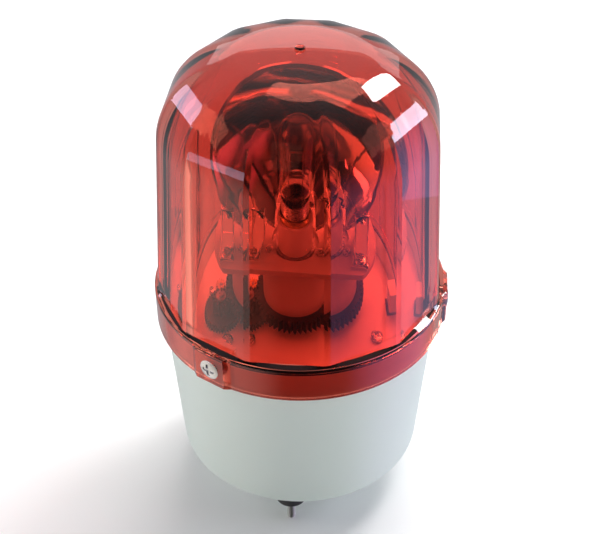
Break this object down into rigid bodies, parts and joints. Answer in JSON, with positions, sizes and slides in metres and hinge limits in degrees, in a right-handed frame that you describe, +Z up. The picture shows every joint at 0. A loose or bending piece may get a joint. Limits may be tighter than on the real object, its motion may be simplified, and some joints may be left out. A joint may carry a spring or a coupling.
{
  "type": "revolving warning light with sounder",
  "caption": "Revolving warning light with built-in sounder: faceted red dome over a motor-driven mirror, white tapered housing and rubber-footed mounting studs.",
  "frame": {"origin": "centre of the mounting plane, which is the undersides of the three rubber feet", "axes": "+Z up through the dome, along the mirror's axis of rotation; -Y is the front, where one stud stands and the mirror faces at rest"},
  "size_m": [0.1036, 0.102, 0.1733],
  "materials": {
    "white_housing": "smooth moulded plastic, cool white",
    "white_deck": "moulded plastic, white",
    "white_rotor": "moulded plastic, white",
    "red_dome": "clear red moulded plastic, glossy",
    "black_rubber": "matt black rubber",
    "black_plastic": "matt black plastic",
    "black_gear": "black acetal",
    "green_plastic": "green terminal plastic",
    "bright_steel": "nickel-plated steel",
    "zinc_steel": "zinc-plated steel",
    "spring_steel": "ground steel",
    "brass_parts": "turned brass",
    "bush_bronze": "sintered bronze",
    "nickel_cap": "nickel-plated brass",
    "clear_glass": "clear lamp glass",
    "filament_wire": "tungsten and nickel wire",
    "ferrite": "sintered ferrite",
    "ceramic_element": "silvered ceramic",
    "laminated_core": "laminated iron with varnish",
    "fibre_board": "resin board",
    "mirror_chrome": "vacuum-metallised plastic"
  },
  "bodies": {
    "housing": {"base_housing": "white_housing", "mounting_studs": "zinc_steel", "rubber_feet": "black_rubber", "cable_grommet": "black_rubber", "dome_lens": "red_dome", "dome_screws": "bright_steel", "dome_gasket": "black_rubber", "chassis_deck": "white_deck", "deck_screws": "bright_steel", "lamp_column": "white_deck", "column_screws": "bright_steel", "thrust_washer": "brass_parts", "retaining_clip": "spring_steel", "lamp_socket": "brass_parts", "socket_insulator": "fibre_board", "socket_contact": "brass_parts", "bulb_cap": "nickel_cap", "bulb_glass": "clear_glass", "bulb_filament": "filament_wire", "motor_can": "zinc_steel", "motor_end_cap": "black_plastic", "motor_magnets": "ferrite", "motor_screws": "bright_steel", "idler_pin": "spring_steel", "idler_washer": "brass_parts", "idler_clip": "spring_steel", "sounder_housing": "black_plastic", "sounder_screws": "bright_steel", "sounder_disc": "brass_parts", "sounder_element": "ceramic_element", "circuit_board": "fibre_board", "board_screws": "bright_steel", "transformer": "laminated_core", "smoothing_capacitor": "black_plastic", "terminal_block": "green_plastic", "tone_chip": "black_plastic"},
    "rotor": {"ring_gear": "black_gear", "ring_gear_screws": "bright_steel", "rotor_drum": "white_rotor", "lower_bush": "bush_bronze", "upper_bush": "bush_bronze", "reflector_plate": "white_rotor", "plate_screws": "bright_steel", "reflector": "mirror_chrome", "reflector_screws": "bright_steel"},
    "idler": {"idler_gear": "black_gear"},
    "motor_rotor": {"motor_shaft": "spring_steel", "motor_armature": "laminated_core", "motor_pinion": "brass_parts"}
  },
  "joints": [
    {"name": "rotor_spin", "type": "hinge", "parent": "housing", "child": "rotor", "pos_m": [0, 0, 0.0726], "axis": [0, 0, 1], "continuous": true},
    {"name": "idler_spin", "type": "hinge", "parent": "housing", "child": "idler", "pos_m": [-0.02481, -0.00903, 0.0676], "axis": [0, 0, 1], "continuous": true},
    {"name": "motor_spin", "type": "hinge", "parent": "housing", "child": "motor_rotor", "pos_m": [-0.02665, 0.00434, 0.0476], "axis": [0, 0, 1], "continuous": true}
  ],
  "couplings": [
    {"joint": "idler_spin", "follows": "rotor_spin", "ratio": -4.5},
    {"joint": "motor_spin", "follows": "rotor_spin", "ratio": 15.75}
  ]
}
